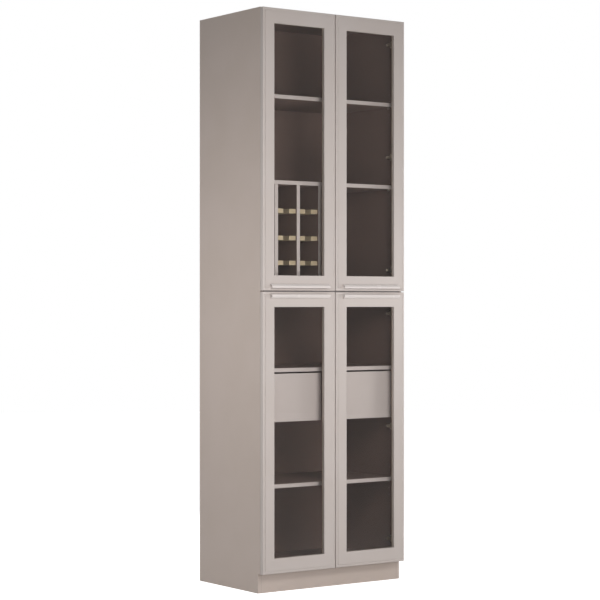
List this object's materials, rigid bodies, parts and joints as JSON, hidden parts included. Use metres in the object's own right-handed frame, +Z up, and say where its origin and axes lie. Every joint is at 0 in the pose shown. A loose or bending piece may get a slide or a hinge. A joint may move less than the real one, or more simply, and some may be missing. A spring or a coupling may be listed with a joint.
{
  "type": "tall glazed kitchen cabinet",
  "caption": "Tall lacquered kitchen cabinet with two tiers of framed tinted glass doors, grip handles, shelves, a bottle rack and inner drawers.",
  "frame": {"origin": "on the floor, below the middle of the whole box, handles included", "axes": "+Z up, -Y out of the front, +X to the right for someone facing the doors"},
  "size_m": [0.8, 0.54, 2.61],
  "materials": {
    "door_lacquer": "satin taupe lacquer on a fibre board",
    "carcass_lacquer": "satin taupe lacquer on board",
    "inner_board": "matt taupe melamine board",
    "back_board": "matt taupe thin board",
    "raw_board": "matt taupe board",
    "ash_wood": "clear oiled light ash",
    "beech_dowel": "fluted beech",
    "tinted_glass": "bronze tinted float glass",
    "handle_lacquer": "taupe powder coat on an aluminium profile",
    "glazing_plastic": "matt taupe extruded strip",
    "nickel_steel": "nickel plated steel",
    "zinc_steel": "zinc plated steel",
    "bumper_rubber": "clear soft pad",
    "foot_plastic": "black moulded plastic"
  },
  "bodies": {
    "cabinet": {"back_panel_lower": "back_board", "back_panel_upper": "back_board", "bottom_panel": "inner_board", "drawer_divider_boards": "inner_board", "drawer_divider_core": "inner_board", "drawer_slide_rails": "zinc_steel", "foot_screws": "foot_plastic", "foot_sockets": "foot_plastic", "hanging_rails": "raw_board", "hinge_arms": "nickel_steel", "hinge_plates": "nickel_steel", "joint_dowels": "beech_dowel", "middle_panel": "inner_board", "plinth_board": "carcass_lacquer", "rack_battens": "ash_wood", "rack_uprights": "inner_board", "shelf_bottom": "inner_board", "shelf_over_drawers": "inner_board", "shelf_over_rack": "inner_board", "shelf_pins": "nickel_steel", "shelf_top": "inner_board", "side_panel_left": "carcass_lacquer", "side_panel_right": "carcass_lacquer", "top_panel": "inner_board"},
    "door_upper_left": {"door_upper_left_bumpers": "bumper_rubber", "door_upper_left_frame": "door_lacquer", "door_upper_left_glass": "tinted_glass", "door_upper_left_glazing_beads": "glazing_plastic", "door_upper_left_handle": "handle_lacquer", "door_upper_left_hinge_cups": "nickel_steel"},
    "door_upper_right": {"door_upper_right_bumpers": "bumper_rubber", "door_upper_right_frame": "door_lacquer", "door_upper_right_glass": "tinted_glass", "door_upper_right_glazing_beads": "glazing_plastic", "door_upper_right_handle": "handle_lacquer", "door_upper_right_hinge_cups": "nickel_steel"},
    "door_lower_left": {"door_lower_left_bumpers": "bumper_rubber", "door_lower_left_frame": "door_lacquer", "door_lower_left_glass": "tinted_glass", "door_lower_left_glazing_beads": "glazing_plastic", "door_lower_left_handle": "handle_lacquer", "door_lower_left_hinge_cups": "nickel_steel"},
    "door_lower_right": {"door_lower_right_bumpers": "bumper_rubber", "door_lower_right_frame": "door_lacquer", "door_lower_right_glass": "tinted_glass", "door_lower_right_glazing_beads": "glazing_plastic", "door_lower_right_handle": "handle_lacquer", "door_lower_right_hinge_cups": "nickel_steel"},
    "drawer_left": {"drawer_left_back": "inner_board", "drawer_left_bottom": "inner_board", "drawer_left_front": "inner_board", "drawer_left_runners": "zinc_steel", "drawer_left_sides": "inner_board"},
    "drawer_right": {"drawer_right_back": "inner_board", "drawer_right_bottom": "inner_board", "drawer_right_front": "inner_board", "drawer_right_runners": "zinc_steel", "drawer_right_sides": "inner_board"}
  },
  "joints": [
    {"name": "door_upper_left_hinge", "type": "hinge", "parent": "cabinet", "child": "door_upper_left", "pos_m": [-0.4, -0.23, 1.979], "axis": [0, 0, -1], "range_deg": [0, 155]},
    {"name": "door_upper_right_hinge", "type": "hinge", "parent": "cabinet", "child": "door_upper_right", "pos_m": [0.4, -0.23, 1.979], "axis": [0, 0, 1], "range_deg": [0, 155]},
    {"name": "door_lower_left_hinge", "type": "hinge", "parent": "cabinet", "child": "door_lower_left", "pos_m": [-0.4, -0.23, 0.716], "axis": [0, 0, -1], "range_deg": [0, 155]},
    {"name": "door_lower_right_hinge", "type": "hinge", "parent": "cabinet", "child": "door_lower_right", "pos_m": [0.4, -0.23, 0.716], "axis": [0, 0, 1], "range_deg": [0, 155]},
    {"name": "drawer_left_slide", "type": "slide", "parent": "cabinet", "child": "drawer_left", "axis": [0, -1, 0], "range_m": [0, 0.228]},
    {"name": "drawer_right_slide", "type": "slide", "parent": "cabinet", "child": "drawer_right", "axis": [0, -1, 0], "range_m": [0, 0.228]}
  ],
  "couplings": [
    {"joint": "drawer_left_slide", "follows": "door_lower_left_hinge", "m_per_rad": 0.084},
    {"joint": "drawer_right_slide", "follows": "door_lower_right_hinge", "m_per_rad": 0.084}
  ]
}
